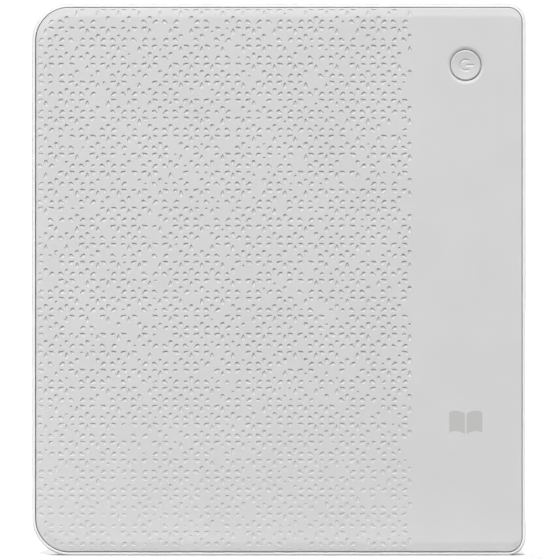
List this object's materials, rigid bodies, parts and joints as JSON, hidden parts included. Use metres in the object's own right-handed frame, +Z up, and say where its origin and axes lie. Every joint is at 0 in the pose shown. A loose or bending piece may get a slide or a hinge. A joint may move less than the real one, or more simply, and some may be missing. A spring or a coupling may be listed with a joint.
{
  "type": "e-reader",
  "caption": "Seven-inch e-reader with a thick one-hand grip, page keys beside the screen, a petal-patterned back cover and a round power button.",
  "frame": {"origin": "middle of the overall box, on the flat bottom edge of the bezel", "axes": "+Z up the long side of the screen, -Y out of the screen, +Y out of the back cover, -X towards the thick grip"},
  "size_m": [0.1446, 0.009, 0.1616],
  "materials": {
    "white_shell": "fine matt, white",
    "grey_cover": "matt, light grey, with small recessed petals",
    "button_grey": "matt, light grey",
    "screen_film": "anti-glare film over a blank pale grey page",
    "clear_guide": "clear moulded",
    "panel_glass": "opaque display laminate on glass",
    "chassis_metal": "satin sheet",
    "board_green": "solder mask",
    "chip_black": "matt moulded",
    "tinned_steel": "bright tinned",
    "screw_steel": "zinc plated",
    "silicone": "matt",
    "foam_tape": "matt closed-cell foam",
    "battery_foil": "laminated foil pouch",
    "flex_amber": "polyimide film",
    "connector_ivory": "matt moulded",
    "wire_red": "insulated wire",
    "wire_black": "insulated wire"
  },
  "bodies": {
    "reader_body": {"front_bezel": "white_shell", "back_cover": "grey_cover", "perimeter_seal": "silicone", "screen_gasket": "foam_tape", "touch_panel": "screen_film", "frontlight_guide": "clear_guide", "frontlight_strip": "flex_amber", "display_panel": "panel_glass", "panel_tape": "foam_tape", "chassis_plate": "chassis_metal", "chassis_screw_1": "screw_steel", "chassis_screw_2": "screw_steel", "chassis_screw_3": "screw_steel", "chassis_screw_4": "screw_steel", "chassis_screw_5": "screw_steel", "main_board": "board_green", "board_screw_1": "screw_steel", "board_screw_2": "screw_steel", "board_screw_3": "screw_steel", "processor_shield": "tinned_steel", "processor": "chip_black", "memory_chip": "chip_black", "flash_chip": "chip_black", "power_management_chip": "chip_black", "wireless_module": "tinned_steel", "cover_sensor": "chip_black", "battery_connector": "connector_ivory", "screen_connector": "chip_black", "touch_connector": "chip_black", "frontlight_connector": "chip_black", "page_key_connector": "chip_black", "screen_flex": "flex_amber", "touch_flex": "flex_amber", "frontlight_flex": "flex_amber", "page_key_flex": "flex_amber", "battery_tape": "foam_tape", "battery": "battery_foil", "battery_guard_board": "chip_black", "battery_wire_positive": "wire_red", "battery_wire_negative": "wire_black", "usb_shell": "tinned_steel", "usb_tongue": "chip_black", "usb_seal": "silicone", "light_pipe": "clear_guide", "status_led": "connector_ivory", "antenna": "flex_amber", "cover_magnet_1": "tinned_steel", "cover_magnet_2": "tinned_steel", "power_switch": "tinned_steel", "power_button_seal": "silicone", "page_key_board": "board_green", "page_switch_upper": "tinned_steel", "page_switch_lower": "tinned_steel"},
    "power_button_body": {"power_button": "button_grey", "power_switch_plunger": "chip_black"},
    "page_key_upper_body": {"page_key_upper": "button_grey", "page_switch_plunger_upper": "chip_black"},
    "page_key_lower_body": {"page_key_lower": "button_grey", "page_switch_plunger_lower": "chip_black"}
  },
  "joints": [
    {"name": "power_press", "type": "slide", "parent": "reader_body", "child": "power_button_body", "axis": [0, -1, 0], "range_m": [0, 0.00035], "stiffness_N_per_m": 600},
    {"name": "page_upper_press", "type": "slide", "parent": "reader_body", "child": "page_key_upper_body", "axis": [0, 1, 0], "range_m": [0, 0.0004], "stiffness_N_per_m": 600},
    {"name": "page_lower_press", "type": "slide", "parent": "reader_body", "child": "page_key_lower_body", "axis": [0, 1, 0], "range_m": [0, 0.0004], "stiffness_N_per_m": 600}
  ]
}
